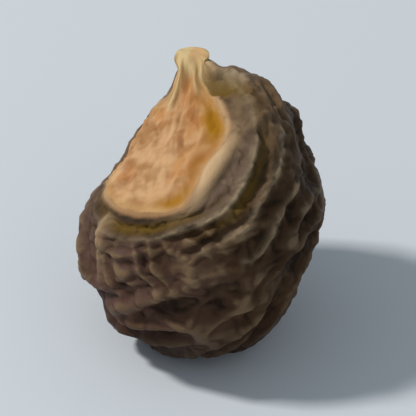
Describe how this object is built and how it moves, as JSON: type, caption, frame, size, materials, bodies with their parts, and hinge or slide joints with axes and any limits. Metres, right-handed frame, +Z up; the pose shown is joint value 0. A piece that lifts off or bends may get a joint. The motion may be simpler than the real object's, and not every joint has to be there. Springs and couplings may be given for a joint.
{
  "type": "soapnut",
  "caption": "Dried soapnut with a wrinkled brown husk, a pale pointed scar and a short beak, lying on a small flat spot.",
  "frame": {"origin": "centre of the small flat spot that the nut rests on", "axes": "+Z up from the surface that it rests on, +Y to the back where the beak points, +X to the right"},
  "size_m": [0.0189, 0.0205, 0.0202],
  "materials": {
    "husk": "dried wrinkled husk, brown, with a dull leathery sheen and a pale tan scar"
  },
  "bodies": {
    "root": {"soapnut": "husk"}
  },
  "joints": []
}
